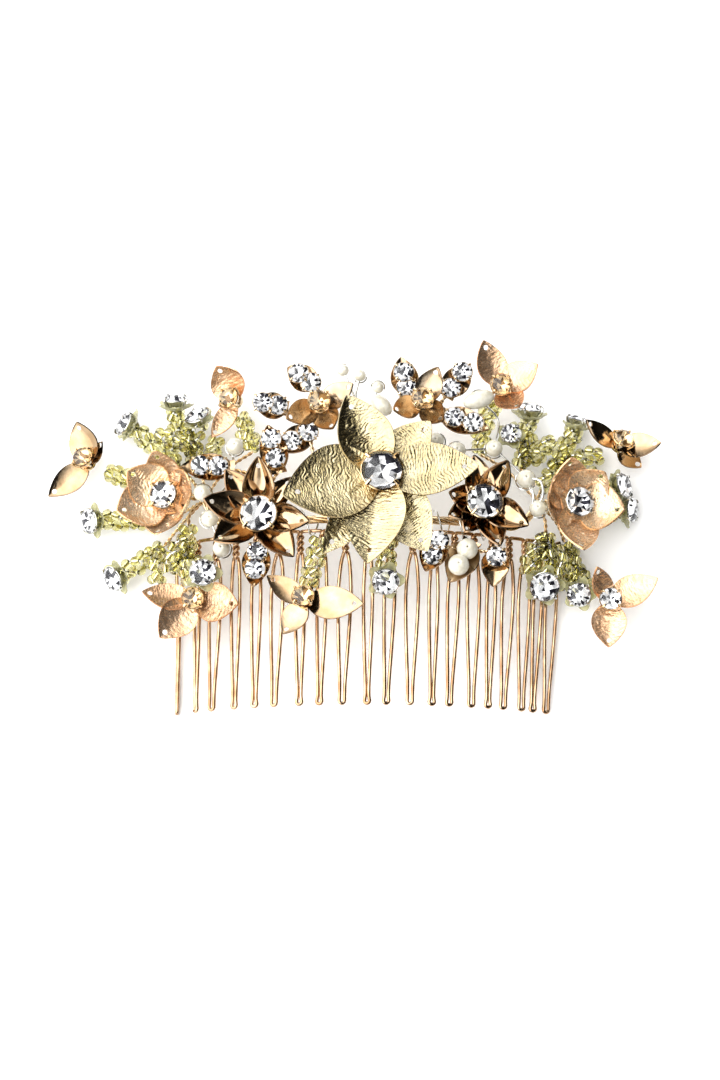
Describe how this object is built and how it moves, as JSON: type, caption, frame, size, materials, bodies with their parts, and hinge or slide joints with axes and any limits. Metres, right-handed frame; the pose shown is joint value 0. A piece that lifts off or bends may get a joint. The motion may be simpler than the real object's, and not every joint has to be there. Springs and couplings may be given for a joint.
{
  "type": "decorative hair comb",
  "caption": "Curved wire hair comb carrying a wired spray of metal flowers, stone-set leaves, pearls, crystals and seed-bead sprigs.",
  "frame": {"origin": "middle of the bounding box, at its lowest level, which is the table that the comb lies on", "axes": "+X along the row of teeth to the wearer's side on the right of the picture, the teeth point to -Y, +Z is the decorated face"},
  "size_m": [0.1244, 0.0747, 0.0251],
  "materials": {
    "rose_gold": "polished rose-gold plating",
    "olive_gold": "matte plating with a fine wavy embossed grain",
    "bright_gold": "mirror-polished gold plating",
    "peach_satin": "satin peach lacquer over embossed sheet",
    "silver_wire": "bright silver-plated wire",
    "crystal": "clear cut crystal with a foiled back",
    "champagne": "champagne cut crystal with a foiled back",
    "bead": "translucent citrine seed beads with a silver lining",
    "pearl": "ivory imitation pearl"
  },
  "bodies": {
    "root": {"bead_sprig_bottom": "bead", "bead_sprig_bottom_gold_flower": "bead", "bead_sprig_bottom_right": "bead", "bead_sprig_far_left": "bead", "bead_sprig_low_left": "bead", "bead_sprig_low_right": "bead", "bead_sprig_lower_left": "bead", "bead_sprig_outer_left": "bead", "bead_sprig_top_left_flower": "bead", "bead_sprig_top_right_flower": "bead", "bead_sprig_upper_left": "bead", "bead_sprigs_far_right": "bead", "bead_sprigs_outer_right": "bead", "bead_sprigs_top_left": "bead", "bead_sprigs_upper_right": "bead", "big_flower_back_petals": "olive_gold", "big_flower_crystal": "crystal", "big_flower_front_petals": "olive_gold", "big_flower_setting": "bright_gold", "bottom_gold_flower_petals": "bright_gold", "bottom_gold_flower_stone": "champagne", "bottom_left_flower_petals": "peach_satin", "bottom_left_flower_stone": "champagne", "bottom_right_flower_petals": "peach_satin", "bottom_right_flower_stone": "crystal", "comb_wire": "rose_gold", "far_left_flower_petals": "bright_gold", "far_left_flower_stone": "champagne", "far_right_flower_petals": "bright_gold", "far_right_flower_stone": "champagne", "leaf_low_left": "bright_gold", "leaves_bottom_right": "bright_gold", "leaves_left": "bright_gold", "leaves_top_left": "rose_gold", "leaves_top_right": "rose_gold", "left_gold_flower_crystal": "crystal", "left_gold_flower_petals": "bright_gold", "left_gold_flower_setting": "bright_gold", "left_tulip_crystal": "crystal", "left_tulip_petals": "peach_satin", "left_tulip_setting": "bright_gold", "pearls_left": "pearl", "pearls_right": "pearl", "pearls_top": "pearl", "right_gold_flower_crystal": "crystal", "right_gold_flower_petals": "bright_gold", "right_gold_flower_setting": "bright_gold", "right_tulip_crystal": "crystal", "right_tulip_petals": "peach_satin", "right_tulip_setting": "bright_gold", "spine_lashing": "silver_wire", "spray_stem": "bright_gold", "top_left_flower_petals": "peach_satin", "top_left_flower_stone": "champagne", "top_left_rose_flower_petals": "rose_gold", "top_left_rose_flower_stone": "champagne", "top_right_flower_petals": "peach_satin", "top_right_flower_stone": "champagne", "top_right_rose_flower_petals": "rose_gold", "top_right_rose_flower_stone": "champagne"}
  },
  "joints": []
}
